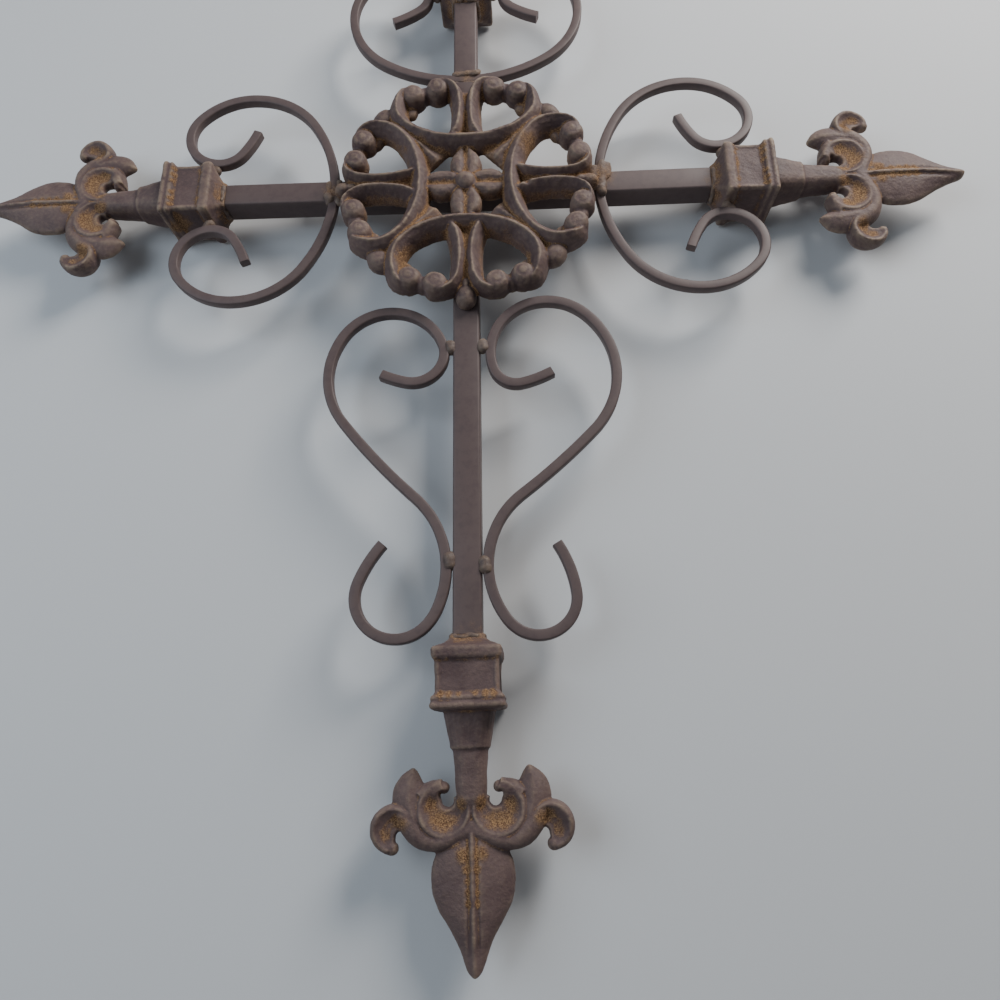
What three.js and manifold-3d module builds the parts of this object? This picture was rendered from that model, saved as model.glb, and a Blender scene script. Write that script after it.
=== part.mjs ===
// Wrought iron wall cross, standing as it hangs. Millimetres, +Z up, front towards -Y.
// The origin is on the back face of the upright, where the arms cross it.
import * as THREE from 'three';
import { mergeVertices } from 'three/addons/utils/BufferGeometryUtils.js';
import Module from 'manifold-3d';

const wasm = await Module();
wasm.setup();

// Square bars
const barSize = 12.7; // half-inch stock
const barCorner = 1.3;
const armReach = 125.6; // crossing to the end of an arm bar
const footReach = 229; // crossing to the foot end of the upright
const leftArmLift = 0.5; // degrees, the left arm was welded on slightly high

// Scroll rod
const rodSize = 4.8; // 3/16-inch stock
const scrollReach = 57.1; // back of a side scroll to the end of its arm bar
const topScrollShift = 2.7; // the top scroll was welded on this much further out
// A C scroll's half from its back to its tip, bends as [radius as a share of its reach, degrees]
const armScrollBends = [[1.401, 33.4], [0.7408, 56.6], [0.6305, 50], [0.3152, 130], [0.2452, 55], [1.05, 15]];
const medallionRadius = 64;
// The S scrolls fill the upright between the medallion and the foot. Their sizes are shares of
// that length; they were bent by hand and differ a little. Negative bends turn clockwise.
const lowerLength = footReach - medallionRadius;
const lowerScrolls = {
  right: {
    tipDrop: 0.2564,
    heading: 208,
    bends: [[0.3636, -14.6], [0.0691, -83], [0.1642, -151.5], [0.2588, -92.9], [1.806, -8.7],
      [0.2461, 87.5], [0.1242, 17.5], [0.1, 134.4], [0.3212, 25]],
  },
  left: {
    tipDrop: 0.2497,
    heading: 205.5,
    bends: [[0.3636, -11.8], [0.0903, -122.5], [0.1642, -127.5], [0.2382, -71.2], [1.818, -9.8],
      [0.2691, 71.5], [0.1448, 20.5], [0.1109, 157.4], [0.3636, 19]],
  },
};
const bendTolerance = 0.5; // how far a faceted bend may leave the true arc
const weldSize = 4.2; // radius of a weld lump
const lowerScrollGap = 0.5; // air between the upright and an S scroll's closest bend

// Medallion, a round openwork casting on the front of the crossing
const medallionHeight = 11; // back to the crests of its ribs
const medallionRight = 0.5; // how far it sits off the crossing
const medallionDrop = 2.2;
const bowlCentre = medallionRadius * 0.719; // middle of a lobe's half-ellipse, out from the centre
const bowlHalfWidth = medallionRadius * 0.5625;
const bowlDepth = medallionRadius * 0.359;
// How its ends curl in: shares of the half-width and of the depth beyond the centre, slimming
const bowlTuck = [[0.61, 0.52, 0.45], [0.8, 0.5, 0.7], [0.95, 0.3, 0.9]];
// A rib's half-widths at its back, and at its crest
const bowlRib = { inner: medallionRadius * 0.094, outer: medallionRadius * 0.078, crest: 1.3 };
const stemRib = { inner: medallionRadius * 0.042, outer: medallionRadius * 0.078, crest: 1.1 };
// A stem's rib from the bowl to the curl that it wraps: across and out as shares of the radius, slimming
const stemPath = [[0.109, 0.359, 1], [0.056, 0.516, 1], [0.042, 0.672, 1], [0.063, 0.813, 1], [0.127, 0.922, 0.9],
  [0.213, 0.95, 0.75], [0.291, 0.914, 0.5]];
const stemSink = 0.6; // how far a stem's crest lies below the bowl's
const stemWebHeight = 5;
// The domes inside the curls, as shares of the radius
const outerDome = { across: 0.43, out: 0.8, radius: 0.104 };
const innerDome = { across: 0.258, out: 0.86, radius: 0.092 };
const knobRadius = (bowlCentre - bowlHalfWidth) * 0.52; // fills the gap between two lobes
const petalLength = medallionRadius * 0.3125;
const petalHalfWidth = medallionRadius * 0.103;
const petalHeight = 6.5;
// Shares of a petal's length, half-width and height
const petalShape = [[0.15, 0.5, 1], [0.55, 1, 1], [0.85, 0.6, 0.85], [1, 0.12, 0.6]];
const bossRadius = medallionRadius * 0.0875;
const bossHeight = 8;
// The roof-shaped webs between the lobes
const dartBase = medallionRadius * 0.344;
const dartLength = medallionRadius * 0.28;
const dartHalfWidth = { inner: medallionRadius * 0.094, outer: medallionRadius * 0.031 };
const dartHeight = 7;

// Cast finial, measured outwards from the bar end of its collar
const finialFlare = 6;
const collarLength = 24.4;
const collarHalf = 13.2;
const collarCorner = 1.6;
const barFlange = { half: 14.6, thick: 4 };
const tipFlange = { half: 15.6, thick: 5.4 };
const neckLength = 15;
const neckHalf = { collar: 10.4, step: 8.2 };
const stalkHalf = { step: 6.9, end: 6.2 };
const stalkLength = 22.5;
const fleurDepth = 5.2; // half thickness of the fleur's bands
const leafHalfWidth = 16.8;
const leafDepth = 5.4;
const leafStart = 72;
const leafEnd = 123;
// Share of the leaf's length, share of its half-width
const leafShape = [[0, 0.55], [0.13, 0.86], [0.3, 1], [0.45, 0.96], [0.6, 0.71], [0.75, 0.43], [0.9, 0.2], [1, 0.05]];
const midribHalf = 1.5;
const innerVolute = { across: 11.8, out: 63.6, radius: 7.6, band: 4.6 }; // middle of the dished band
const outerVolute = { across: 32, out: 69.6, radius: 4.6, band: 4 };
// The band between them: share of the way across, distance beyond leafStart, half-width
const fleurBand = [[0, -3, 5], [0.344, 3.2, 3.4], [0.625, 1.4, 4.4], [0.844, -5, 5], [0.969, -9.5, 3.4]];
const middleLeafTip = { across: 24.2, out: 47.2 };
// The middle leaf from its root: distance across beyond its tip, share of its length, half-width
const middleLeaf = [[-1.7, 0, 6], [0.8, 0.5, 6.2], [0.4, 0.76, 3.8], [0, 1, 0.7]];
const footLean = 1; // degrees, the foot finial leans to the right

const seat = 0.3; // clearance where two pieces touch

const degrees = Math.PI / 180;
const castIron = { color: 0x5c4c4a, roughness: 0.55, metalness: 0.35 };
const rodIron = { color: 0x625250, roughness: 0.5, metalness: 0.4 };
const barIron = { color: 0x66564f, roughness: 0.5, metalness: 0.4 };

function solidOf(geometry) {
  const bare = geometry.clone();
  bare.deleteAttribute('normal');
  bare.deleteAttribute('uv');
  const merged = mergeVertices(bare, 1e-5);
  return new wasm.Manifold(new wasm.Mesh({
    numProp: 3,
    vertProperties: new Float32Array(merged.attributes.position.array),
    triVerts: new Uint32Array(merged.index.array),
  }));
}

function geometryOf(solid) {
  const mesh = solid.getMesh();
  const geometry = new THREE.BufferGeometry();
  geometry.setAttribute('position', new THREE.BufferAttribute(new Float32Array(mesh.vertProperties), 3));
  geometry.setIndex(new THREE.BufferAttribute(new Uint32Array(mesh.triVerts), 1));
  geometry.computeVertexNormals();
  return geometry;
}

function unite(geometries) {
  return geometries.map(solidOf).reduce((all, one) => all.add(one));
}

// Joins rings of equal point counts into one closed body with fanned ends.
function loft(rings) {
  const count = rings[0].length;
  const points = rings.flat();
  const triangles = [];
  for (let ring = 0; ring + 1 < rings.length; ring++) {
    for (let side = 0; side < count; side++) {
      const a = ring * count + side;
      const b = ring * count + (side + 1) % count;
      triangles.push(a, b, b + count, a, b + count, a + count);
    }
  }
  const last = points.length - count;
  for (let side = 1; side + 1 < count; side++) {
    triangles.push(0, side + 1, side, last, last + side, last + side + 1);
  }
  const geometry = new THREE.BufferGeometry();
  geometry.setAttribute('position', new THREE.Float32BufferAttribute(points.flatMap((p) => p.toArray()), 3));
  geometry.setIndex(signedVolume(points, triangles) < 0 ? triangles.reverse() : triangles);
  return geometry;
}

function signedVolume(points, triangles) {
  let six = 0;
  for (let i = 0; i < triangles.length; i += 3) {
    const [a, b, c] = [points[triangles[i]], points[triangles[i + 1]], points[triangles[i + 2]]];
    six += a.dot(new THREE.Vector3().crossVectors(b, c));
  }
  return six;
}

// A square with cut corners, centred on the Z axis.
function squareRing(half, corner, z) {
  const inner = half - corner;
  const corners = [[half, -inner], [half, inner], [inner, half], [-inner, half],
    [-half, inner], [-half, -inner], [-inner, -half], [inner, -half]];
  return corners.map(([x, y]) => new THREE.Vector3(x, y, z));
}

// A chain of bends in the XZ plane as stations {x, z, heading}, heading from +X towards +Z.
function bendPath(start, heading, bends) {
  let [x, z] = start;
  let angle = heading * degrees;
  const stations = [{ x, z, angle }];
  for (const [radius, turn] of bends) {
    const finest = 2 * Math.acos(1 - bendTolerance / radius);
    const steps = Math.ceil(Math.abs(turn) * degrees / finest);
    const step = turn * degrees / steps;
    const chord = 2 * radius * Math.sin(Math.abs(step) / 2);
    for (let i = 0; i < steps; i++) {
      x += chord * Math.cos(angle + step / 2);
      z += chord * Math.sin(angle + step / 2);
      angle += step;
      stations.push({ x, z, angle });
    }
  }
  return stations;
}

// Square rod along stations, with its front face at y = front.
function rodAlong(stations, front) {
  const half = rodSize / 2;
  const section = [[-half, front], [half, front], [half, front + rodSize], [-half, front + rodSize]];
  return loft(stations.map(({ x, z, angle }) => section.map(([aside, y]) =>
    new THREE.Vector3(x - aside * Math.sin(angle), y, z + aside * Math.cos(angle)))));
}

// A pad of weld metal beside a rod, in the rod's own plane.
function weldLump(x, z, front) {
  const lump = new THREE.SphereGeometry(weldSize, 6, 4);
  lump.scale(1, rodSize / weldSize / 2, 1);
  lump.translate(x, front + rodSize / 2, z);
  return lump;
}

function barAlongZ(from, to) {
  const half = barSize / 2;
  const outline = new THREE.Shape();
  outline.moveTo(half, -half + barCorner);
  for (let side = 0; side < 4; side++) {
    const [c, s] = [[1, 0], [0, 1], [-1, 0], [0, -1]][side];
    const at = (x, y) => [x * c - y * s, x * s + y * c];
    outline.lineTo(...at(half, half - barCorner));
    outline.quadraticCurveTo(...at(half, half), ...at(half - barCorner, half));
  }
  const bar = new THREE.ExtrudeGeometry(outline, { depth: to - from, bevelEnabled: false, curveSegments: 2 });
  return bar.translate(0, -half, from);
}

// The C scroll of an arm, opening outwards (+Z), its back crossing the arm at height out.
function armScroll(out) {
  const half = bendPath([0, out], 0, armScrollBends.map(([share, turn]) => [share * scrollReach, turn]));
  const mirrored = half.slice(1).map(({ x, z, angle }) => ({ x: -x, z, angle: -angle })).reverse();
  const rod = rodAlong([...mirrored, ...half], -barSize);
  const padAside = barFlange.half + seat + weldSize;
  const padOut = armReach + seat + finialFlare + barFlange.thick / 2;
  const pads = [-1, 1].map((side) => weldLump(side * padAside, padOut, -barSize));
  return unite([rod, ...pads]);
}

// An S scroll beside the upright; side is 1 on the right and -1 on the left.
function lowerScroll(shape, side) {
  const bends = shape.bends.map(([share, turn]) => [share * lowerLength, turn]);
  const stations = bendPath([0, -medallionRadius - shape.tipDrop * lowerLength], shape.heading, bends);
  const closest = (some) => some.reduce((best, s) => (s.x < best.x ? s : best));
  const shift = barSize / 2 + seat + lowerScrollGap + rodSize / 2 - closest(stations).x;
  stations.forEach((s) => { s.x += shift; });
  const rod = rodAlong(stations, -barSize);
  const middle = -medallionRadius - lowerLength / 2;
  const halves = [stations.filter((s) => s.z > middle), stations.filter((s) => s.z < middle)];
  const pads = halves.map((some) => weldLump(barSize / 2 + seat + weldSize, closest(some).z, -barSize));
  const scroll = unite([rod, ...pads]);
  return side > 0 ? scroll : scroll.mirror([1, 0, 0]);
}

const lensSection = [[1, 0], [0.5, 1], [-0.5, 1], [-1, 0], [-0.5, -1], [0.5, -1]];
const dishSection = [[1, 0], [0.6, 1], [-1, 0.35], [-1, -0.35], [0.6, -1]]; // crest on its outer edge

// A tapering blade along a planar centre-line of stations {x, z, half, depth}.
function blade(stations, section = lensSection) {
  return loft(stations.map(({ x, z, half, depth }, i) => {
    const before = stations[Math.max(i - 1, 0)];
    const after = stations[Math.min(i + 1, stations.length - 1)];
    const along = new THREE.Vector2(after.x - before.x, after.z - before.z).normalize();
    return section.map(([aside, deep]) => new THREE.Vector3(
      x - aside * half * along.y, deep * depth, z + aside * half * along.x));
  }));
}

// A dished band around an arc, turning clockwise so that its crest lies outside.
function volute({ across, out, radius, band }, fromDegrees, toDegrees, steps, depthAt, widthAt) {
  const stations = [];
  for (let i = 0; i <= steps; i++) {
    const share = i / steps;
    const angle = (fromDegrees + (toDegrees - fromDegrees) * share) * degrees;
    const half = band * widthAt(share);
    const rim = radius + band - half;
    stations.push({
      x: across + rim * Math.cos(angle),
      z: out + rim * Math.sin(angle),
      half,
      depth: fleurDepth * depthAt(share),
    });
  }
  return blade(stations, dishSection);
}

// Collar, neck and stalk of a finial as one stack of square rings.
function finialBody() {
  const { half: upper, thick: upperThick } = barFlange;
  const { half: lower, thick: lowerThick } = tipFlange;
  const neckStart = collarLength + 0.5;
  const step = neckStart + neckLength;
  const rings = [
    [-finialFlare, barSize / 2 + 0.6, barCorner],
    [-finialFlare * 0.2, (barSize / 2 + upper) / 2 + 1, collarCorner],
    [0, upper, collarCorner],
    [upperThick * 0.8, upper, collarCorner],
    [upperThick, collarHalf, collarCorner],
    [collarLength - lowerThick, collarHalf, collarCorner],
    [collarLength - lowerThick * 0.8, lower - 0.6, collarCorner],
    [collarLength - lowerThick * 0.3, lower, collarCorner],
    [collarLength, lower - 0.6, collarCorner],
    [neckStart, neckHalf.collar, neckHalf.collar * 0.35],
    [step, neckHalf.step, neckHalf.step * 0.35],
    [step + 0.8, stalkHalf.step, stalkHalf.step * 0.4],
    [step + stalkLength - 3, stalkHalf.end, stalkHalf.end * 0.4],
    [step + stalkLength, stalkHalf.end * 0.6, stalkHalf.end * 0.24],
  ];
  return loft(rings.map(([z, half, corner]) => squareRing(half, corner, z)));
}

// The pointed leaf, widest about a third of the way down.
function finialLeaf() {
  return blade(leafShape.map(([share, width]) => ({
    x: 0,
    z: leafStart + (leafEnd - leafStart) * share,
    half: leafHalfWidth * width,
    depth: leafDepth * (0.35 + 0.65 * Math.sqrt(width)) * (share < 1 ? 1 : 0.3),
  })));
}

function midrib() {
  return blade([
    { x: 0, z: leafStart - 12, half: midribHalf, depth: leafDepth },
    { x: 0, z: leafStart + 20, half: midribHalf, depth: leafDepth + 1 },
    { x: 0, z: leafEnd - 6, half: midribHalf * 0.5, depth: leafDepth * 0.55 },
  ]);
}

// One side of the fleur: inner volute, band with the drooping outer volute, middle leaf.
function fleurSide() {
  const leafDrop = leafStart - middleLeafTip.out;
  return [
    volute(innerVolute, 210, -105, 8, (share) => 1 - 0.2 * share, (share) => 1 - 0.35 * share ** 3),
    blade(fleurBand.map(([share, beyond, half]) => (
      { x: outerVolute.across * share, z: leafStart + beyond, half, depth: fleurDepth }))),
    volute(outerVolute, -120, 100, 6, (share) => 0.95 - 0.6 * share, (share) => 1 - 0.75 * share ** 2),
    blade(middleLeaf.map(([beyond, share, half]) => ({
      x: middleLeafTip.across + beyond,
      z: leafStart - leafDrop * share,
      half,
      depth: fleurDepth * (0.9 - 0.6 * share ** 2),
    }))),
  ];
}

// A whole finial, pointing outwards along +Z from the bar end of its collar at height start.
function finial(start) {
  const side = unite(fleurSide());
  const body = unite([finialBody(), finialLeaf(), midrib()]);
  return body.add(side).add(side.mirror([1, 0, 0])).translate([0, -barSize / 2, start]);
}

// A ridge of the medallion along stations {x, y, slim}: flat at the back, rounded at the crest.
function ridge(stations, { inner, outer, crest }, height) {
  return loft(stations.map(({ x, y, slim = 1 }, i) => {
    const before = stations[Math.max(i - 1, 0)];
    const after = stations[Math.min(i + 1, stations.length - 1)];
    const along = new THREE.Vector2(after.x - before.x, after.y - before.y).normalize();
    const section = [[inner, 0], [crest, height - 1], [0, height], [-crest, height - 1], [-outer, 0]];
    return section.map(([aside, z]) => (
      new THREE.Vector3(x - aside * slim * along.y, y + aside * slim * along.x, z)));
  }));
}

function lobeBowl() {
  const stations = [];
  const tuck = bowlTuck.map(([across, beyond, slim]) => (
    { x: bowlHalfWidth * across, y: bowlCentre + bowlDepth * beyond, slim }));
  const sweep = 12;
  for (let i = 0; i <= sweep; i++) {
    const angle = Math.PI * i / sweep;
    stations.push({
      x: -bowlHalfWidth * Math.cos(angle),
      y: bowlCentre - bowlDepth * Math.sin(angle),
    });
  }
  const start = tuck.map((s) => ({ ...s, x: -s.x }));
  return ridge([...start, ...stations, ...tuck.reverse()], bowlRib, medallionHeight);
}

function lobeStem(side) {
  const stations = stemPath.map(([across, out, slim]) => (
    { x: side * across * medallionRadius, y: out * medallionRadius, slim }));
  const { inner, outer, crest } = stemRib;
  const rib = side > 0 ? stemRib : { inner: outer, outer: inner, crest };
  return ridge(stations, rib, medallionHeight - stemSink);
}

// The floor of the groove between a stem's two ribs.
function stemWeb() {
  const half = stemPath[0][0] * medallionRadius;
  const [foot, top] = [stemPath[0][1] * medallionRadius, stemPath[4][1] * medallionRadius];
  const middle = (foot + top) / 2;
  const web = new THREE.Shape();
  web.moveTo(-half, foot);
  web.quadraticCurveTo(0, middle, -half, top);
  web.lineTo(half, top);
  web.quadraticCurveTo(0, middle, half, foot);
  return new THREE.ExtrudeGeometry(web, { depth: stemWebHeight, bevelEnabled: false, curveSegments: 3 });
}

function ball(x, y, radius, z) {
  return new THREE.SphereGeometry(radius, 7, 4).rotateX(Math.PI / 2).translate(x, y, z);
}

function dome({ across, out, radius }, side) {
  const size = radius * medallionRadius;
  return ball(side * across * medallionRadius, out * medallionRadius, size, medallionHeight - size + 0.2);
}

// A creased petal of the middle flower, pointing along +Y.
function petal() {
  return loft(petalShape.map(([share, width, high]) => {
    const y = petalLength * share;
    const half = petalHalfWidth * width;
    const top = petalHeight * high;
    return [[half, 0], [half, top - 2], [half * 0.5, top], [0, top - 1.4],
      [-half * 0.5, top], [-half, top - 2], [-half, 0]].map(([x, z]) => new THREE.Vector3(x, y, z));
  }));
}

// The web between two lobes, a roof-shaped wedge on the diagonal.
function dart() {
  const { inner, outer } = dartHalfWidth;
  const ends = [[dartBase, inner, dartHeight * 0.43], [dartBase + dartLength, outer, dartHeight * 0.7]];
  return loft(ends.map(([y, half, eaves]) => {
    const section = [[half, 0], [half, eaves], [0, dartHeight], [-half, eaves], [-half, 0]];
    return section.map(([x, z]) => new THREE.Vector3(x, y, z));
  }));
}

function medallion() {
  const sides = [-1, 1].flatMap((side) => [lobeStem(side), dome(outerDome, side), dome(innerDome, side)]);
  const lobe = unite([lobeBowl(), ...sides, stemWeb(), petal()]);
  const knobOut = medallionRadius - knobRadius + 0.8;
  const corner = unite([dart(), ball(0, knobOut, knobRadius, knobRadius * 0.8)]).rotate([0, 0, 45]);
  let whole = solidOf(ball(0, 0, bossRadius, bossHeight - bossRadius + 1.5));
  for (let quarter = 0; quarter < 4; quarter++) {
    whole = whole.add(lobe.rotate([0, 0, 90 * quarter])).add(corner.rotate([0, 0, 90 * quarter]));
  }
  const below = new THREE.BoxGeometry(4 * medallionRadius, 4 * medallionRadius, 2 * medallionHeight);
  below.translate(0, 0, -medallionHeight);
  return whole.subtract(solidOf(below));
}

function meshOf(name, solid, look) {
  const geometry = solid.isBufferGeometry ? solid : geometryOf(solid);
  const mesh = new THREE.Mesh(geometry, new THREE.MeshStandardMaterial(look));
  mesh.name = name;
  return mesh;
}

// Everything on one arm, pointing along +Z: the stub behind the medallion, scroll, bar and finial.
function arm(side, turn, shift = 0) {
  const group = new THREE.Group();
  const crossing = armReach - scrollReach + shift;
  const edge = rodSize / 2 + seat;
  // How far the scroll's back curves outwards across the width of the bar
  const bow = (barSize / 2) ** 2 / (2 * armScrollBends[0][0] * scrollReach) + bendTolerance;
  if (side !== 'top') {
    group.add(meshOf(`crossbar_${side}`, barAlongZ(barSize / 2 + seat, crossing - edge), barIron));
  }
  group.add(meshOf(`scroll_${side}`, armScroll(crossing), rodIron));
  group.add(meshOf(`arm_${side}`, barAlongZ(crossing + edge + bow, armReach), barIron));
  group.add(meshOf(`finial_${side}`, finial(armReach + seat + finialFlare), castIron));
  group.rotation.y = turn * degrees;
  return group;
}

function wallCross() {
  const cross = new THREE.Group();
  const uprightTop = armReach - scrollReach + topScrollShift - rodSize / 2 - seat;
  cross.add(meshOf('upright', barAlongZ(-footReach, uprightTop), barIron));
  cross.add(arm('top', 0, topScrollShift));
  cross.add(arm('right', 90));
  cross.add(arm('left', -90 + leftArmLift));
  cross.add(meshOf('lower_scroll_right', lowerScroll(lowerScrolls.right, 1), rodIron));
  cross.add(meshOf('lower_scroll_left', lowerScroll(lowerScrolls.left, -1), rodIron));

  const foot = meshOf('finial_foot', finial(finialFlare + seat), castIron);
  foot.position.z = -footReach;
  foot.rotation.y = Math.PI - footLean * degrees;
  cross.add(foot);

  const badge = meshOf('medallion', medallion(), castIron);
  badge.rotation.x = Math.PI / 2;
  badge.position.set(medallionRight, -barSize - seat, -medallionDrop);
  cross.add(badge);
  return cross;
}

export default wallCross();
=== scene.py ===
import math

import bmesh
import bpy
import numpy as np
from mathutils import Matrix, Vector, noise


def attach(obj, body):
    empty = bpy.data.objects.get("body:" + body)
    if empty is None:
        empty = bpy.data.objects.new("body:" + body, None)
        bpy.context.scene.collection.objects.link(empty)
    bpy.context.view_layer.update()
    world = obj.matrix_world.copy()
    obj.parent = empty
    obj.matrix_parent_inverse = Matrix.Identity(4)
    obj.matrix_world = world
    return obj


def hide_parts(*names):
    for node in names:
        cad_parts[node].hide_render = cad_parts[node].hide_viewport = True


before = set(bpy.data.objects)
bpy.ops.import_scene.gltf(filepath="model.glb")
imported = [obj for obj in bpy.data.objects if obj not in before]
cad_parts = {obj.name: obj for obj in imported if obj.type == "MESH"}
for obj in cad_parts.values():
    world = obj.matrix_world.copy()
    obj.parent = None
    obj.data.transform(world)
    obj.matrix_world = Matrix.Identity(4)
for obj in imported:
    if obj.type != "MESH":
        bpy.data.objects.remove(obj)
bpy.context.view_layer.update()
scene = bpy.context.scene

# Sizes that several pieces share, in millimetres
bar = {"side": 12.7, "corner": 1.1, "armReach": 125.6, "footReach": 229.0, "unevenness": 0.15}
rod = {"side": 4.8, "corner": 0.8, "reach": 57.1, "topShift": 2.7, "lowerGap": 0.25, "unevenness": 0.16}
seat = 0.3
finialStart = 6.0 + seat
sideCrossing = bar["armReach"] - rod["reach"]
armTurns = {"top": 0.0, "right": 90.0, "left": -89.5}
rustSpots = []  # where water stood or weld metal is bare: x, y, z, reach


# Closed rings of equal counts, with a fan on each end
def loft(rings):
    rings = np.asarray(rings, float)
    stations, count, _ = rings.shape
    points = np.vstack([rings.reshape(-1, 3), rings[0].mean(0), rings[-1].mean(0)])
    here = np.arange(stations - 1)[:, None] * count + np.arange(count)
    ahead = np.arange(stations - 1)[:, None] * count + (np.arange(count) + 1) % count
    sides = np.stack([here, ahead, ahead + count, here + count], -1).reshape(-1, 4)
    faces = [tuple(face) for face in sides.tolist()]
    first, last, tail = stations * count, stations * count + 1, (stations - 1) * count
    for j in range(count):
        k = (j + 1) % count
        faces.append((first, k, j))
        faces.append((last, tail + j, tail + k))
    return points, faces


# An ellipsoid; flatBack cuts it off at height 0
def ball(centre, radii, flatBack=False):
    u = np.linspace(0, 2 * np.pi, 28, endpoint=False)
    rings = []
    for v in np.linspace(-0.5, 0.5, 17)[1:-1] * np.pi:
        rings.append(np.c_[np.cos(u) * np.cos(v), np.sin(u) * np.cos(v), np.full(28, np.sin(v))])
    points, faces = loft(np.array(rings))
    points = points * radii + centre
    if flatBack:
        points[:, 2] = np.maximum(points[:, 2], 0)
    return points, faces


# A smooth path through a few points; further columns are blended along it
def curveThrough(points, step=0.8):
    points = np.asarray(points, float)
    ghost = np.vstack([2 * points[0] - points[1], points, 2 * points[-1] - points[-2]])
    path = []
    for a, b, c, d in zip(ghost, ghost[1:], ghost[2:], ghost[3:]):
        steps = max(2, int(np.linalg.norm((c - b)[:2]) / step))
        t = np.arange(steps)[:, None] / steps
        path.append(0.5 * (2 * b + (c - a) * t + (2 * a - 5 * b + 4 * c - d) * t**2
                           + (3 * b - a - 3 * c + d) * t**3))
    return np.vstack([*path, points[-1:]])


def joined(parts):
    points, faces, start = [], [], 0
    for some, links in parts:
        points.append(some)
        faces += [tuple(i + start for i in link) for link in links]
        start += len(some)
    return np.vstack(points), faces


def faceOutwards(mesh):
    work = bmesh.new()
    work.from_mesh(mesh)
    bmesh.ops.recalc_face_normals(work, faces=work.faces)
    work.to_mesh(mesh)
    work.free()


def meshOf(name, points, faces):
    mesh = bpy.data.meshes.new(name)
    mesh.from_pydata((np.asarray(points) * 0.001).tolist(), [], faces)
    faceOutwards(mesh)
    return mesh


def pieceOf(name, mesh, material):
    piece = bpy.data.objects.new(name, mesh)
    scene.collection.objects.link(piece)
    mesh.materials.clear()
    mesh.materials.append(material)
    mesh.polygons.foreach_set("use_smooth", [True] * len(mesh.polygons))
    return piece


# The plain mesh that an object's modifiers make; the object goes
def settled(drawn, name):
    graph = bpy.context.evaluated_depsgraph_get()
    mesh = bpy.data.meshes.new_from_object(drawn.evaluated_get(graph))
    mesh.name = name
    bpy.data.objects.remove(drawn)
    return mesh


# Fuses overlapping closed parts into one skin, as a casting is
def fusedMesh(name, parts, voxel):
    rough = bpy.data.objects.new("rough", meshOf("rough", *joined(parts)))
    scene.collection.objects.link(rough)
    fuse = rough.modifiers.new("fuse", "REMESH")
    fuse.mode = "VOXEL"
    fuse.voxel_size = voxel * 0.001
    return settled(rough, name)


# Fewer triangles in a dense skin of four-sided faces, where it is plain
def thinned(mesh, most=190000):
    if 2 * len(mesh.polygons) <= most:
        return mesh
    dense = bpy.data.objects.new("dense", mesh)
    scene.collection.objects.link(dense)
    thin = dense.modifiers.new("thin", "DECIMATE")
    thin.ratio = most / (2 * len(mesh.polygons))
    return settled(dense, mesh.name)


def read(mesh, what, width):
    flat = np.empty(len(getattr(mesh, what[0])) * width, what[2])
    getattr(mesh, what[0]).foreach_get(what[1], flat)
    return flat.reshape(-1, width)


def pointsOf(mesh):
    return read(mesh, ("vertices", "co", np.float32), 3)


def normalsOf(mesh):
    return read(mesh, ("vertex_normals", "vector", np.float32), 3)


def edgesOf(mesh):
    return read(mesh, ("edges", "vertices", np.int32), 2)


def relaxed(values, edges, times, weight=0.5):
    count = len(values)
    a, b = edges.T
    shares = np.bincount(a, minlength=count) + np.bincount(b, minlength=count)
    for _ in range(times):
        total = np.stack([np.bincount(a, column[b], count) + np.bincount(b, column[a], count)
                          for column in values.T], 1)
        values = values + weight * (total / shares[:, None] - values)
    return values


# Pushes points along their normals by noise; sizes are pairs of bump width and height in mm
def roughened(points, normals, sizes, seed):
    shift = np.zeros(len(points))
    for width, height in sizes:
        lattice = points / (width * 0.001) + seed
        shift += height * 0.001 * np.array([noise.noise(Vector(p)) for p in lattice])
    return points + normals * shift[:, None]


# Softens and roughens a skin, then marks its hollows and edges for the paint
def finishSkin(mesh, soften, bumps, seed):
    edges = edgesOf(mesh)
    points = pointsOf(mesh).astype(float)
    points = relaxed(points, edges, soften)
    mesh.vertices.foreach_set("co", points.ravel())
    mesh.update()
    normals = normalsOf(mesh)
    points = roughened(points, normals, bumps, seed)
    mesh.vertices.foreach_set("co", points.ravel())
    mesh.update()
    markWear(mesh, points, edges)


# How a skin is read for wear: relaxing steps, and the depth in metres that counts as full
wearMarks = {"closeSteps": 8, "closeDepth": 0.00022, "farSteps": 70, "farDepth": 0.0011}


def markWear(mesh, points, edges):
    normals = normalsOf(mesh)
    close = ((relaxed(points, edges, wearMarks["closeSteps"]) - points) * normals).sum(1)
    far = ((relaxed(points, edges, wearMarks["farSteps"]) - points) * normals).sum(1)
    close, far = close / wearMarks["closeDepth"], far / wearMarks["farDepth"]
    hollow = np.clip(0.5 * close + 0.8 * far, 0, 1)
    edge = np.clip(-0.8 * close - 0.2 * far, 0, 1)
    rusty = np.zeros(len(points))
    for x, y, z, reach in rustSpots:
        distance = np.linalg.norm(points - np.array([x, y, z]) * 0.001, axis=1)
        rusty = np.maximum(rusty, np.exp(-((distance / (reach * 0.001)) ** 2)))
    for name, values in (("hollow", hollow), ("edge", edge), ("rusty", rusty)):
        mesh.attributes.new(name, "FLOAT", "POINT").data.foreach_set("value", values.astype(np.float32))


# Turns points about the Y axis, from the top arm towards the right one
def turned(points, degrees):
    c, s = math.cos(math.radians(degrees)), math.sin(math.radians(degrees))
    x, y, z = np.asarray(points, float).T
    return np.c_[x * c + z * s, y, -x * s + z * c]


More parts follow.
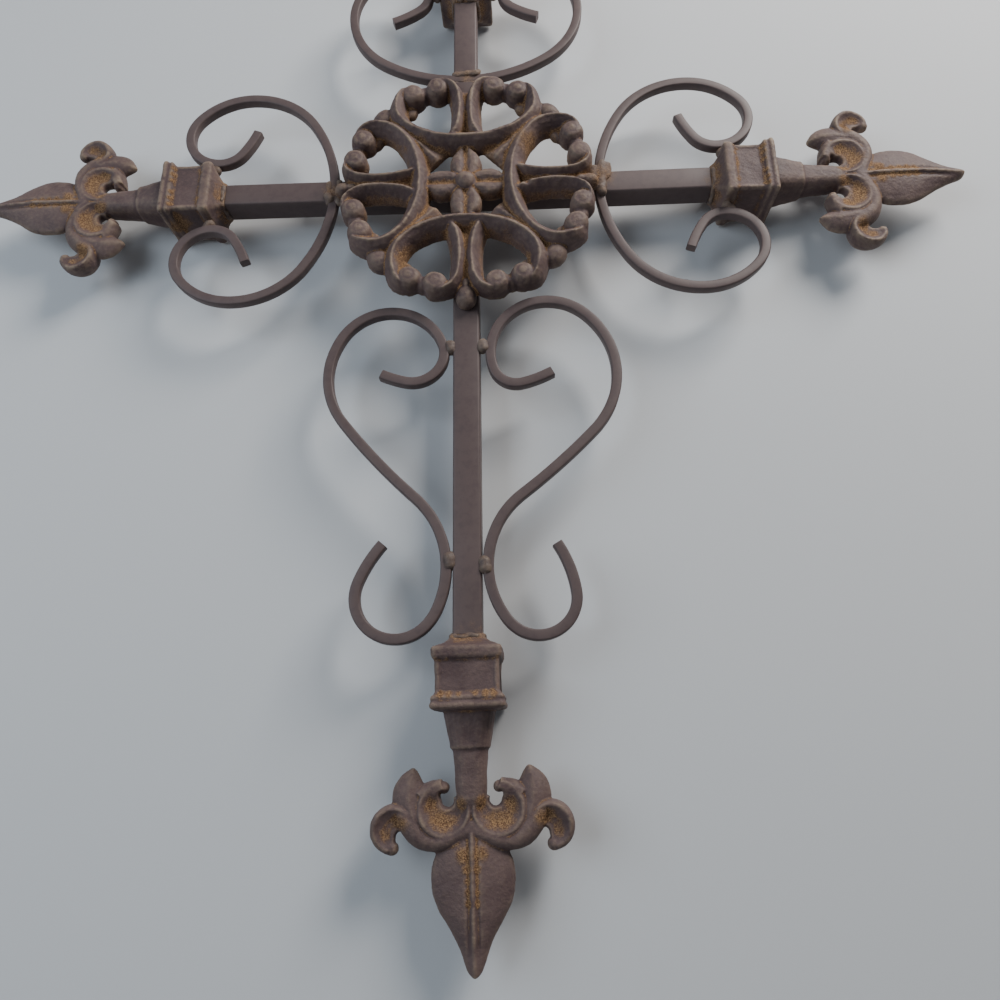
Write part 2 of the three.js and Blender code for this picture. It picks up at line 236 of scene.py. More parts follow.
# Paint, rust and dust
def ironFinish(name, look):
    material = bpy.data.materials.new(name)
    material.use_nodes = True
    nodes, links = material.node_tree.nodes, material.node_tree.links
    shader = nodes["Principled BSDF"]
    place = nodes.new("ShaderNodeTexCoord").outputs["Object"]

    def add(kind, **settings):
        node = nodes.new(kind)
        for key, value in settings.items():
            setattr(node, key, value)
        return node

    def grain(scale, detail=4.0, rough=0.6, warp=0.0):
        node = add("ShaderNodeTexNoise")
        node.inputs["Scale"].default_value = scale
        node.inputs["Detail"].default_value = detail
        node.inputs["Roughness"].default_value = rough
        node.inputs["Distortion"].default_value = warp
        links.new(place, node.inputs["Vector"])
        return node.outputs["Fac"]

    def reckoned(kind, a, b=0.0, clamp=False):
        node = add("ShaderNodeMath", operation=kind, use_clamp=clamp)
        for socket, value in zip(node.inputs, (a, b)):
            if isinstance(value, (int, float)):
                socket.default_value = value
            else:
                links.new(value, socket)
        return node.outputs[0]

    def ranged(value, low, high):
        node = add("ShaderNodeMapRange", interpolation_type="SMOOTHSTEP")
        links.new(value, node.inputs["Value"])
        node.inputs["From Min"].default_value = low
        node.inputs["From Max"].default_value = high
        return node.outputs["Result"]

    def blended(share, a, b):
        node = add("ShaderNodeMix", data_type="RGBA", blend_type="MIX")
        links.new(share, node.inputs[0])
        for socket, value in ((node.inputs[6], a), (node.inputs[7], b)):
            if isinstance(value, tuple):
                socket.default_value = (*value, 1)
            else:
                links.new(value, socket)
        return node.outputs[2]

    def marked(attribute):
        return add("ShaderNodeAttribute", attribute_name=attribute).outputs["Fac"]

    # Paint: two browns in soft clouds, with a fine speckle
    clouds = grain(look["cloudScale"], 3.0, 0.55, 0.4)
    paint = blended(ranged(clouds, 0.36, 0.66), look["dark"], look["light"])
    # Painted shade: the paint darkens towards a dark brown in the hollows, where shade falls
    paintedShade = tuple(channel * 0.4 for channel in look["dark"])
    paint = blended(reckoned("MULTIPLY", marked("hollow"), look["paintedHollowShade"]), paint, paintedShade)
    speckle = grain(1400.0, 2.0, 0.7)
    paint = blended(reckoned("MULTIPLY", ranged(speckle, 0.56, 0.72), look["speckle"]), paint, look["dust"])
    # Dust and worn paint on edges, partly also a painted highlight along the crests
    wornAndHighlit = reckoned("MULTIPLY", marked("edge"), ranged(grain(260.0, 4.0, 0.7), 0.3, 0.58))
    paint = blended(reckoned("MULTIPLY", wornAndHighlit, look["wearAndHighlight"]), paint, look["dust"])
    # Rust in hollows and beside welds
    patch = grain(look["rustScale"], 6.0, 0.72, 0.3)
    pull = reckoned("ADD", reckoned("MULTIPLY", marked("hollow"), look["hollowRust"]),
                    reckoned("MULTIPLY", marked("rusty"), look["weldRust"]))
    rust = ranged(reckoned("ADD", pull, reckoned("SUBTRACT", patch, 0.5)), look["rustFrom"], look["rustFull"])
    crumb = grain(1700.0, 3.0, 0.75)
    rustColour = blended(ranged(crumb, 0.42, 0.6), look["rustDark"], look["rustLight"])
    colour = blended(reckoned("MULTIPLY", rust, look["rustCover"]), paint, rustColour)
    links.new(colour, shader.inputs["Base Color"])
    roughness = reckoned("ADD", reckoned("MULTIPLY", rust, 0.3), look["roughness"])
    patchy = reckoned("MULTIPLY", reckoned("SUBTRACT", clouds, 0.5), 0.25)
    roughness = reckoned("ADD", roughness, patchy, clamp=True)
    links.new(roughness, shader.inputs["Roughness"])
    shader.inputs["Metallic"].default_value = 0.0
    shader.inputs["Specular IOR Level"].default_value = look["gloss"]
    # Casting skin or rolled skin, and crumbs of rust
    pits = reckoned("MULTIPLY", grain(look["skinScale"], 3.0, 0.6), look["skin"])
    crumbs = reckoned("MULTIPLY", reckoned("MULTIPLY", crumb, rust), look["crumbs"])
    bump = add("ShaderNodeBump")
    bump.inputs["Strength"].default_value = 1.0
    bump.inputs["Distance"].default_value = 0.001
    links.new(reckoned("ADD", pits, crumbs), bump.inputs["Height"])
    links.new(bump.outputs["Normal"], shader.inputs["Normal"])
    return material


# In each look, the share that darkens the hollows is painted shade
barLook = {
    "dark": (0.077, 0.0547, 0.0547), "light": (0.087, 0.0625, 0.062), "dust": (0.2, 0.155, 0.13),
    "rustDark": (0.105, 0.052, 0.027), "rustLight": (0.34, 0.205, 0.1), "paintedHollowShade": 0.1,
    "cloudScale": 18.0, "speckle": 0.0, "wearAndHighlight": 0.1, "rustScale": 120.0, "hollowRust": 0.05,
    "weldRust": 0.75, "rustFrom": 0.42, "rustFull": 0.95, "rustCover": 0.7, "roughness": 0.5,
    "gloss": 0.24, "skinScale": 420.0, "skin": 0.03, "crumbs": 0.25,
}
# The edge share in each look is partly worn paint and dust, partly a painted highlight on the crests; the
# dust colour is also the colour of that painted highlight
castLook = {
    **barLook, "dark": (0.075, 0.048, 0.048), "light": (0.107, 0.071, 0.067), "dust": (0.30, 0.225, 0.155),
    "paintedHollowShade": 0.55, "cloudScale": 50.0, "speckle": 0.12, "wearAndHighlight": 0.75, "hollowRust": 0.85, "rustFrom": 0.22,
    "rustFull": 0.72, "rustCover": 0.88, "roughness": 0.62, "skinScale": 800.0, "skin": 0.3, "crumbs": 0.6,
}
weldLook = {
    **castLook, "dark": (0.07, 0.049, 0.047), "light": (0.105, 0.077, 0.07), "dust": (0.33, 0.25, 0.165),
    "wearAndHighlight": 0.34, "paintedHollowShade": 0.3, "hollowRust": 0.7, "weldRust": 0.4, "rustFrom": 0.15, "rustFull": 0.7,
    "roughness": 0.55,
}
barIron = ironFinish("brown painted bar", barLook)
castIron = ironFinish("brown painted casting", castLook)
weldIron = ironFinish("weld metal", weldLook)

# Weld metal: beads and lumps as chains of small blobs
front = -bar["side"]
topCrossing = sideCrossing + rod["topShift"]
weld = {
    "voxel": 0.5, "bumps": [(3.6, 0.4), (1.4, 0.1)], "seed": 31, "soften": 9,
    # Beads where the arm bars butt on the scrolls: start, end and radius, with depths from the bars' front
    "beads": [
        ((-6.0, 0.6, topCrossing + 3.0), (6.5, 0.4, topCrossing + 3.4), 1.9),
        ((-5.5, 1.4, topCrossing - 2.9), (5.5, 1.2, topCrossing - 2.9), 1.7),
        ((5.2, -0.6, topCrossing + 2.4), (7.5, 0.8, topCrossing + 5.0), 1.7),
        ((-sideCrossing - 2.9, 0.8, -6.0), (-sideCrossing - 2.9, 0.8, 6.0), 1.7),
        ((-sideCrossing - 1.8, -0.3, -4.6), (-sideCrossing - 2.6, 0, -2.4), 2.4),
        ((-sideCrossing + 2.6, 0.9, -6.4), (-sideCrossing + 2.6, 0.9, 6.4), 1.9),
        ((sideCrossing + 1.0, -0.7, -7.0), (sideCrossing + 1.6, -0.8, 10.5), 2.5),
        ((sideCrossing - 2.8, -0.9, -4.0), (sideCrossing - 2.8, -1.0, 7.0), 2.4),
        ((sideCrossing + 4.2, 0.6, 3.0), (sideCrossing + 4.8, 0.9, 10.0), 2.3),
        ((sideCrossing - 1.0, -0.9, 2.0), (sideCrossing + 3.0, -0.2, 7.0), 2.4),
    ],
    # Lumps that hold the lower scrolls to the sides of the upright: x, z and radius
    "lumps": [(-7.6, -92.0, 3.0), (8.0, -92.0, 3.2), (-7.4, -197.0, 3.2), (7.8, -199.0, 3.3)],
    # Where a curl meets its collar: start and end, in an arm
    "curlLump": ((16.2, 2.2, 132.6), (18.6, 2.4, 134.6)),
}
weldParts = []
rng = np.random.default_rng(weld["seed"])


def weldBead(start, end, radius, squash=0.75, rusted=True):
    start, end = np.array(start, float), np.array(end, float)
    steps = max(3, int(np.linalg.norm(end - start) / (radius * 0.3)))
    for share in np.linspace(0, 1, steps):
        centre = start + (end - start) * share + rng.normal(0, 0.09 * radius, 3)
        radii = radius * rng.uniform(0.88, 1.1, 3) * np.array([1, squash, 1])
        weldParts.append(ball(centre, radii))
    middle = (start + end) / 2
    if rusted:
        rustSpots.append((*middle, np.linalg.norm(end - start) / 2 + radius * 1.2))


for (x1, y1, z1), (x2, y2, z2), radius in weld["beads"]:
    weldBead((x1, front + y1, z1), (x2, front + y2, z2), radius)
rustSpots += [(-149, -8, -13.5, 6), (-151, -7, -14, 5), (sideCrossing + 6, front, -1, 6)]
for x, z, size in weld["lumps"]:
    weldBead((x, front + 1.6, z - 1.3), (x * 1.02, front + 1.8, z + 1.3), size, 0.9, rusted=False)
# Collars: a ragged seam round the bar, and a lump at each curl
for turn, base in [*((turn, bar["armReach"]) for turn in armTurns.values()), (180.0, bar["footReach"])]:
    seam = []
    for step in range(30):
        angle = 2 * math.pi * step / 30
        corner = max(abs(math.cos(angle)), abs(math.sin(angle)))
        half = (bar["side"] / 2 + 0.7) / corner
        half = min(half, bar["side"] / 2 * 1.28)
        seam.append((half * math.cos(angle), half * math.sin(angle) - bar["side"] / 2,
                     base + 1.2 + rng.normal(0, 0.35)))
    for spot in turned(seam, turn):
        weldParts.append(ball(spot, rng.uniform(1.0, 1.7, 3)))
    rustSpots.append((*turned([(0, -bar["side"] / 2, base + 1)], turn)[0], 13.0))
for turn in armTurns.values():
    for side in (-1, 1):
        ends = turned([(side * x, front + y, z) for x, y, z in weld["curlLump"]], turn)
        weldBead(ends[0], ends[1], 2.6, 0.9)

weldMesh = fusedMesh("welds", weldParts, weld["voxel"])
finishSkin(weldMesh, weld["soften"], weld["bumps"], weld["seed"])
welds = pieceOf("welds", weldMesh, weldIron)
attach(welds, "root")
print("welds", len(weldMesh.polygons))


# Square bars and rods follow a path in the plane of the cross
def rodTree():
    tree = bpy.data.node_groups.new("square iron along a path", "GeometryNodeTree")
    face, nodes, links = tree.interface, tree.nodes, tree.links
    face.new_socket("Path", in_out="INPUT", socket_type="NodeSocketGeometry")
    for name in ("Side", "Corner", "Middle depth", "Unevenness", "Bump width"):
        face.new_socket(name, in_out="INPUT", socket_type="NodeSocketFloat")
    face.new_socket("Seed", in_out="INPUT", socket_type="NodeSocketInt")
    face.new_socket("Iron", in_out="INPUT", socket_type="NodeSocketMaterial")
    face.new_socket("Rod", in_out="OUTPUT", socket_type="NodeSocketGeometry")
    given, made = nodes.new("NodeGroupInput"), nodes.new("NodeGroupOutput")

    def chain(kind, geometry=None, socket=None, **settings):
        node = nodes.new(kind)
        for key, value in settings.items():
            setattr(node, key, value)
        if geometry is not None:
            links.new(geometry, node.inputs[socket])
        return node

    upright = chain("GeometryNodeSetCurveNormal", given.outputs["Path"], "Curve", mode="Z_UP")
    section = chain("GeometryNodeCurvePrimitiveQuadrilateral")
    links.new(given.outputs["Side"], section.inputs["Width"])
    links.new(given.outputs["Side"], section.inputs["Height"])
    eased = chain("GeometryNodeFilletCurve", section.outputs["Curve"], "Curve", mode="POLY")
    eased.inputs["Count"].default_value = 3
    links.new(given.outputs["Corner"], eased.inputs["Radius"])
    swept = chain("GeometryNodeCurveToMesh", upright.outputs["Curve"], "Curve")
    links.new(eased.outputs["Curve"], swept.inputs["Profile Curve"])
    swept.inputs["Fill Caps"].default_value = True
    # Hammer and bending marks, along the normals
    where = nodes.new("GeometryNodeInputPosition")
    wander = nodes.new("ShaderNodeTexNoise")
    wander.noise_dimensions = "4D"
    wander.inputs["Detail"].default_value = 2.0
    inverse = chain("ShaderNodeMath", operation="DIVIDE")
    inverse.inputs[0].default_value = 1.0
    links.new(given.outputs["Bump width"], inverse.inputs[1])
    links.new(where.outputs["Position"], wander.inputs["Vector"])
    links.new(inverse.outputs[0], wander.inputs["Scale"])
    links.new(given.outputs["Seed"], wander.inputs["W"])
    centred = chain("ShaderNodeMath", wander.outputs["Fac"], 0, operation="SUBTRACT")
    centred.inputs[1].default_value = 0.5
    height = chain("ShaderNodeMath", centred.outputs[0], 0, operation="MULTIPLY")
    links.new(given.outputs["Unevenness"], height.inputs[1])
    outward = nodes.new("GeometryNodeInputNormal")
    push = chain("ShaderNodeVectorMath", outward.outputs["Normal"], 0, operation="SCALE")
    links.new(height.outputs[0], push.inputs["Scale"])
    uneven = chain("GeometryNodeSetPosition", swept.outputs["Mesh"], "Geometry")
    links.new(push.outputs[0], uneven.inputs["Offset"])
    # The path lies in XY; stand it up and set it at its depth
    depth = nodes.new("ShaderNodeCombineXYZ")
    links.new(given.outputs["Middle depth"], depth.inputs["Y"])
    stood = chain("GeometryNodeTransform", uneven.outputs["Geometry"], "Geometry")
    stood.inputs["Rotation"].default_value = (math.pi / 2, 0, 0)
    links.new(depth.outputs[0], stood.inputs["Translation"])
    real = chain("GeometryNodeRealizeInstances", stood.outputs["Geometry"], "Geometry")
    iron = chain("GeometryNodeSetMaterial", real.outputs["Geometry"], "Geometry")
    links.new(given.outputs["Iron"], iron.inputs["Material"])
    links.new(iron.outputs["Geometry"], made.inputs["Rod"])
    return tree


squareIron = rodTree()
rodSeeds = iter(range(3, 60))


# One square rod or bar along (x, z) points in millimetres, replacing its CAD node
def squareRod(name, path, sizes, middleDepth, node):
    curve = bpy.data.curves.new("path", "CURVE")
    curve.dimensions = "3D"
    spline = curve.splines.new("POLY")
    spline.points.add(len(path) - 1)
    flat = np.c_[np.asarray(path) * 0.001, np.zeros(len(path)), np.ones(len(path))]
    spline.points.foreach_set("co", flat.ravel())
    drawn = bpy.data.objects.new("path", curve)
    scene.collection.objects.link(drawn)
    follow = drawn.modifiers.new("square iron", "NODES")
    follow.node_group = squareIron
    values = {"Side": sizes["side"] * 0.001, "Corner": sizes["corner"] * 0.001,
              "Middle depth": middleDepth * 0.001, "Unevenness": sizes["unevenness"] * 0.001,
              "Bump width": 0.011, "Seed": next(rodSeeds), "Iron": barIron}
    for socket in squareIron.interface.items_tree:
        if socket.name in values:
            follow[socket.identifier] = values[socket.name]
    mesh = settled(drawn, name)
    faceOutwards(mesh)
    piece = pieceOf(name, mesh, barIron)
    mesh.set_sharp_from_angle(angle=math.radians(50))
    markWear(mesh, pointsOf(mesh).astype(float), edgesOf(mesh))
    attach(piece, "root")
    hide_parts(node)


def straight(start, end, step=2.0):
    count = max(2, int(math.dist(start, end) / step)) + 1
    return np.linspace(start, end, count)


# Points along a chain of bends, each a radius and a turn in degrees
def bent(start, heading, bends, step=1.2):
    (x, z), angle = start, math.radians(heading)
    path = [(x, z)]
    for radius, turn in bends:
        steps = max(3, int(radius * abs(math.radians(turn)) / step))
        part = math.radians(turn) / steps
        chord = 2 * radius * math.sin(abs(part) / 2)
        for _ in range(steps):
            x += chord * math.cos(angle + part / 2)
            z += chord * math.sin(angle + part / 2)
            angle += part
            path.append((x, z))
    return np.array(path)


def inArm(path, degrees):
    flat = turned(np.c_[path[:, 0], np.zeros(len(path)), path[:, 1]], degrees)
    return flat[:, [0, 2]]


armScroll = {
    "bends": [(1.401, 33.4), (0.7408, 56.6), (0.6305, 50), (0.3152, 130), (0.2452, 55), (1.05, 15)],
}
lowerScrolls = {
    "right": {
        "tipDrop": 0.2564, "heading": 208, "side": 1,
        "bends": [(0.3636, -14.6), (0.0691, -83), (0.1642, -151.5), (0.2588, -92.9), (1.806, -8.7),
                  (0.2461, 87.5), (0.1242, 17.5), (0.1, 134.4), (0.3212, 25)],
    },
    "left": {
        "tipDrop": 0.2497, "heading": 205.5, "side": -1,
        "bends": [(0.3636, -11.8), (0.0903, -122.5), (0.1642, -127.5), (0.2382, -71.2), (1.818, -9.8),
                  (0.2691, 71.5), (0.1448, 20.5), (0.1109, 157.4), (0.3636, 19)],
    },
}
medallion = {
    "radius": 64.0, "right": 0.5, "drop": 2.2, "voxel": 0.5, "seed": 5,
    "bumps": [(7.0, 0.4), (2.2, 0.16)], "eyeDepth": 0.24, "eyeWidth": 0.7, "eyeRing": 2.5,
    # Top, left, foot and right lobe: how deep it hangs, half length of its bud, how far out its eyes lie
    "lobes": [(21.0, 0, 1.6), (23.0, 5.2, -0.9), (22.6, 7.0, 1.4), (23.0, 5.2, 0.6)],
    "pit": ((31.5, -6.0), 2.6, 1.5), "dustHeight": 9.5, "dust": 0.54,
}

barMiddle, rodMiddle = -bar["side"] / 2, -bar["side"] + rod["side"] / 2
edge = rod["side"] / 2 + seat
bow = (bar["side"] / 2) ** 2 / (2 * armScroll["bends"][0][0] * rod["reach"]) + 0.5
squareRod("uprightBar", straight((0, -bar["footReach"]), (0, topCrossing - edge)), bar, barMiddle,
          "upright")
for side, turn in armTurns.items():
    crossing = topCrossing if side == "top" else sideCrossing
    outerBar = straight((0, crossing + edge + bow), (0, bar["armReach"]))
    squareRod(f"{side}ArmBar", inArm(outerBar, turn), bar, barMiddle, f"arm_{side}")
    if side != "top":
        stub = straight((0, bar["side"] / 2 + seat), (0, crossing - edge))
        squareRod(f"{side}CrossBar", inArm(stub, turn), bar, barMiddle, f"crossbar_{side}")
    half = bent((0, crossing), 0, [(share * rod["reach"], bend) for share, bend in armScroll["bends"]])
    whole = np.vstack([half[:0:-1] * (-1, 1), half])
    squareRod(f"{side}Scroll", inArm(whole, turn), rod, rodMiddle, f"scroll_{side}")
lowerLength = bar["footReach"] - medallion["radius"]
for side, shape in lowerScrolls.items():
    path = bent((0, -medallion["radius"] - shape["tipDrop"] * lowerLength), shape["heading"],
                [(share * lowerLength, turn) for share, turn in shape["bends"]])
    path[:, 0] += bar["side"] / 2 + seat + rod["lowerGap"] + rod["side"] / 2 - path[:, 0].min()
    path[:, 0] *= shape["side"]
    squareRod(f"{side}LowerScroll", path, rod, rodMiddle, f"lower_scroll_{side}")
print("bars and rods")


# Medallion: x across and y out along a lobe, z towards the front
# A rib over path rows (x, y, slimming, height share); section rows are (aside, height)
def ribAlong(path, section):
    along = np.gradient(path[:, :2], axis=0)
    along /= np.linalg.norm(along, axis=1)[:, None]
    rings = []
    for (x, y, slim, high), (ax, ay) in zip(path, along):
        rings.append([(x - aside * slim * ay, y + aside * slim * ax, z * high) for aside, z in section])
    return loft(rings)


bowlSection = [(-5.2, 0), (-4.9, 1.8), (-4.4, 4.2), (-3.4, 7.2), (-2.4, 9.0), (-1.0, 10.5), (-0.2, 11.3),
               (0.3, 11.3), (1.1, 10.4), (2.5, 9.1), (3.9, 7.0), (5.0, 4.4), (5.5, 2.0), (5.8, 0)]
stemSection = [(-5.4, 0), (-4.9, 2.2), (-4.0, 5.2), (-2.8, 7.8), (-1.5, 9.5), (-0.3, 10.7),
               (0.3, 10.7), (1.2, 9.4), (2.2, 7.6), (2.9, 5.0), (3.1, 0)]


def dome(place, radius, top):
    u = np.linspace(0, 2 * np.pi, 32, endpoint=False)
    rings = []
    for at, z in ((1.02, 0), (1.0, 0.3), (0.97, 0.55), (0.88, 0.76), (0.7, 0.9), (0.45, 0.97), (0.15, 1)):
        reach = radius * at
        rings.append(np.c_[place[0] + reach * np.cos(u), place[1] + reach * np.sin(u), np.full(32, top * z)])
    return loft(rings)


def lobe(depth, bud, reach):
    quarter = np.linspace(0, np.pi / 2, 8)
    ellipse = [(36 * math.sin(a), 46 - depth * math.cos(a), 1, 1) for a in quarter]
    tuck = [(35.6, 49.8 + reach / 2, 0.94, 1), (34.6, 53.2 + reach, 0.82, 0.97),
            (32.6, 56.4 + reach, 0.64, 0.88), (29.6, 58.4 + reach, 0.42, 0.7)]
    half = curveThrough(ellipse + tuck)
    bowl = np.vstack([half[:0:-1] * (-1, 1, 1, 1), half])
    parts = [ribAlong(bowl, bowlSection)]
    stem = curveThrough([
        (9.0, 46 - depth - 1, 0.8, 0.8), (6.2, 50 - depth, 0.95, 0.93), (4.3, 32.0, 1, 1),
        (3.2, 38.0, 1, 1), (2.8, 45.0, 1, 1), (3.1, 50.5, 1, 1), (4.3, 55.8 + reach / 2, 0.96, 1),
        (7.0, 60.2 + reach / 2, 0.88, 0.98), (11.0, 62.4 + reach / 2, 0.74, 0.92),
        (15.6, 62.2 + reach, 0.54, 0.8), (18.6, 60.6 + reach, 0.36, 0.66)])
    for side in (-1, 1):
        section = stemSection if side > 0 else [(-aside, z) for aside, z in stemSection][::-1]
        parts.append(ribAlong(stem * (side, 1, 1, 1), section))
        parts.append(dome((side * 27.6, 54.2 + reach), 6.3, 10.4))
        parts.append(dome((side * 15.0, 57.8 + reach), 6.3, 10.4))
        parts.append(dome((side * 21.4, 56.8 + reach), 3.8, 7.4))
        parts.append(dome((side * 30.8, 48.4 + reach / 2), 4.8, 4.2))
    groove = curveThrough([
        (0, 46 - depth, 7.0, 5.0), (0, 29.0, 5.2, 4.6), (0, 34.0, 4.0, 6.0), (0, 40.0, 3.0, 7.4),
        (0, 48.0, 3.0, 7.6), (0, 54.0, 4.4, 6.4), (0, 58.5, 6.4, 4.4), (0, 61.0, 8.2, 3.0)])
    rings = [[(-w, y, 0), (-w, y, h), (-w / 2, y, h - 0.3), (w / 2, y, h - 0.3), (w, y, h), (w, y, 0)]
             for _, y, w, h in groove]
    parts.append(loft(rings))
    if bud:
        parts.append(ball((0, 57.4 + bud, 1.6), (bud * 0.74, bud, 5.4), True))
        parts.append(ball((0, 59.0, 2.6), (2.6, 4.0, 4.4), True))
    return parts


def petal():
    rings = []
    for y, width, high in curveThrough([(2.0, 4.0, 6.8), (7.0, 6.9, 7.6), (11.6, 8.1, 7.7),
                                        (16.0, 7.0, 7.3), (19.6, 4.2, 6.7), (22.6, 0.9, 5.8)]):
        half = [(0, high - 1.9), (0.1, high - 1.5), (0.34, high - 0.2), (0.58, high), (0.8, high - 0.7),
                (0.94, high - 2.0), (1.0, high - 4.0), (1.0, 0)]
        whole = half[::-1] + [(-at, z) for at, z in half[1:]]
        rings.append([(width * at, y, z) for at, z in whole])
    return loft(rings)


# The ridged web between two lobes, pointing at the middle
def dart():
    rings = []
    for y, width, high in ((20.8, 7.4, 4.8), (22.6, 7.8, 6.4), (28.0, 7.0, 7.2), (36.0, 5.0, 8.4),
                           (46.0, 2.8, 8.6)):
        rings.append([(width, y, 0), (width, y, high * 0.35), (width * 0.5, y, high * 0.66), (0, y, high),
                      (-width * 0.5, y, high * 0.66), (-width, y, high * 0.35), (-width, y, 0)])
    return loft(rings)


def quarterTurn(part, degrees):
    points, faces = part
    c, s = math.cos(math.radians(degrees)), math.sin(math.radians(degrees))
    x, y, z = points.T
    return np.c_[x * c - y * s, x * s + y * c, z], faces


def medallionParts():
    parts = [ball((0, 0, 4.2), (5.8, 5.8, 6.2), True)]
    for quarter, shape in enumerate(medallion["lobes"]):
        parts += [quarterTurn(part, 90 * quarter) for part in [*lobe(*shape), petal()]]
        knob, neck = ball((0, 61.0, 1.8), (7.6, 6.0, 5.8), True), ball((0, 53.0, 0.8), (5.0, 7.4, 5.2), True)
        corner = [dart(), knob, neck]
        parts += [quarterTurn(part, 90 * quarter + 45) for part in corner]
    placed = []
    for points, faces in parts:
        x, y, z = points.T
        placed.append((np.c_[x + medallion["right"], front - seat - z, y - medallion["drop"]], faces))
    return placed


# Where a point of a lobe lies in the cross
def inLobe(across, out, quarter):
    c, s = [(1, 0), (0, 1), (-1, 0), (0, -1)][quarter]
    return across * c - out * s + medallion["right"], across * s + out * c - medallion["drop"]


# A pit, or a ring round its middle, pressed into the front of a skin at (x, z)
def dented(mesh, spot, depth, width, ring=0.0):
    points = pointsOf(mesh)
    normals = normalsOf(mesh)
    away = np.hypot(points[:, 0] * 1000 - spot[0], points[:, 2] * 1000 - spot[1])
    amount = depth * np.exp(-(((away - ring) / width) ** 2)) * np.clip(-normals[:, 1] * 2 - 0.4, 0, 1)
    points[:, 1] += 0.001 * amount
    mesh.vertices.foreach_set("co", points.ravel())
    mesh.update()


for across, out, reach in ((0, 31, 5.5), (0, 52, 4), (22, 28, 6), (-22, 28, 6), (9, 18, 4), (-9, 18, 4)):
    for quarter in range(4):
        x, z = inLobe(across, out, quarter)
        rustSpots.append((x, front - 4, z, reach))
rustSpots += [(-31, front - 4, -46, 9), (33, front - 4, 20, 9), (30, front - 6, -28, 6)]
rustSpots += [(-8, front - 3, 14, 5)]
medallionMesh = fusedMesh("medallionCasting", medallionParts(), medallion["voxel"])
eye = medallion["eyeDepth"], medallion["eyeWidth"], medallion["eyeRing"]
for quarter in range(4):
    for side in (-1, 1):
        for across, out in ((side * 27.6, 54.0), (side * 15.0, 57.6)):
            dented(medallionMesh, inLobe(across, out + medallion["lobes"][quarter][2], quarter), *eye)
dented(medallionMesh, *medallion["pit"])
finishSkin(medallionMesh, 2, medallion["bumps"], medallion["seed"])
# Dust lies low down between the ribs
skin = pointsOf(medallionMesh)
height = (front - seat) - skin[:, 1] * 1000
radius = np.hypot(skin[:, 0] * 1000 - medallion["right"], skin[:, 2] * 1000 + medallion["drop"])
low = np.clip((medallion["dustHeight"] - height) / 5, 0, 1) * np.clip((58 - radius) / 4, 0, 1)
rusty = medallionMesh.attributes["rusty"].data
already = np.zeros(len(skin), np.float32)
rusty.foreach_get("value", already)
rusty.foreach_set("value", np.maximum(already, medallion["dust"] * low).astype(np.float32))
medallionMesh = thinned(medallionMesh)
casting = pieceOf("medallionCasting", medallionMesh, castIron)
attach(casting, "root")
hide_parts("medallion")
print("medallion", len(medallionMesh.polygons))

# Finials: x across, y towards the wall, z outwards from the bar end of the collar
finial = {"voxel": 0.55, "footVoxel": 0.4, "bumps": [(6.0, 0.22), (1.8, 0.08)], "footLean": 1.0}
# Distance out, half width, corner radius, how far the faces lie in from their edges
bodyProfile = [
    (-6.2, 6.9, 1.2, 0), (-4.4, 7.8, 1.2, 0), (-2.8, 9.8, 1.3, 0), (-1.5, 12.4, 1.4, 0),
    (-0.6, 14.3, 1.5, 0), (0.4, 14.8, 1.6, 0), (3.0, 14.7, 1.6, 0), (4.1, 14.2, 1.5, 0),
    (4.6, 13.7, 1.4, 0.3), (5.4, 13.5, 1.4, 0.5), (12.0, 13.3, 1.4, 0.5), (17.6, 13.4, 1.4, 0.5),
    (18.6, 13.8, 1.4, 0.2), (19.2, 14.7, 1.5, 0), (20.2, 15.2, 1.6, 0), (21.1, 14.8, 1.6, 0),
    (21.7, 15.0, 1.6, 0), (22.6, 15.6, 1.7, 0), (23.8, 15.5, 1.7, 0), (24.6, 14.6, 1.7, 0),
    (25.0, 12.4, 3.4, 0), (25.3, 10.7, 6.4, 0), (28.0, 10.3, 6.4, 0), (33.0, 9.4, 6.0, 0),
    (38.0, 8.5, 5.6, 0), (39.7, 8.3, 5.5, 0), (40.3, 7.6, 5.2, 0), (41.2, 7.2, 5.0, 0),
    (48.0, 6.7, 4.8, 0), (55.0, 6.3, 4.6, 0), (59.0, 6.0, 4.6, 0), (61.5, 5.2, 4.2, 0),
    (63.5, 3.9, 3.3, 0), (65.2, 1.9, 1.7, 0),
]


def roundedSquare(half, corner, inset, z):
    ring = []
    flat = half - corner
    # The raised edge, and where the sunk face starts
    lip, foot = min(0.3, flat * 0.2), min(0.9, flat * 0.5)
    for side in range(4):
        c, s = [(1, 0), (0, 1), (-1, 0), (0, -1)][side]
        across = [(half, -flat), (half, lip - flat), (half - inset, foot - flat), (half - inset, -flat * 0.4),
                  (half - inset, flat * 0.4), (half - inset, flat - foot), (half, flat - lip), (half, flat)]
        for turn in (18, 36, 54, 72):
            a = math.radians(turn)
            across.append((flat + corner * math.cos(a), flat + corner * math.sin(a)))
        ring += [(x * c - y * s, x * s + y * c, z) for x, y in across]
    return ring


def finialBody():
    profile = np.array(bodyProfile)
    heights = np.unique(np.r_[np.arange(profile[0, 0], profile[-1, 0], 0.5), profile[:, 0]])
    columns = [np.interp(heights, profile[:, 0], profile[:, k]) for k in (1, 2, 3)]
    return loft([roundedSquare(half, corner, inset, z) for z, half, corner, inset in zip(heights, *columns)])


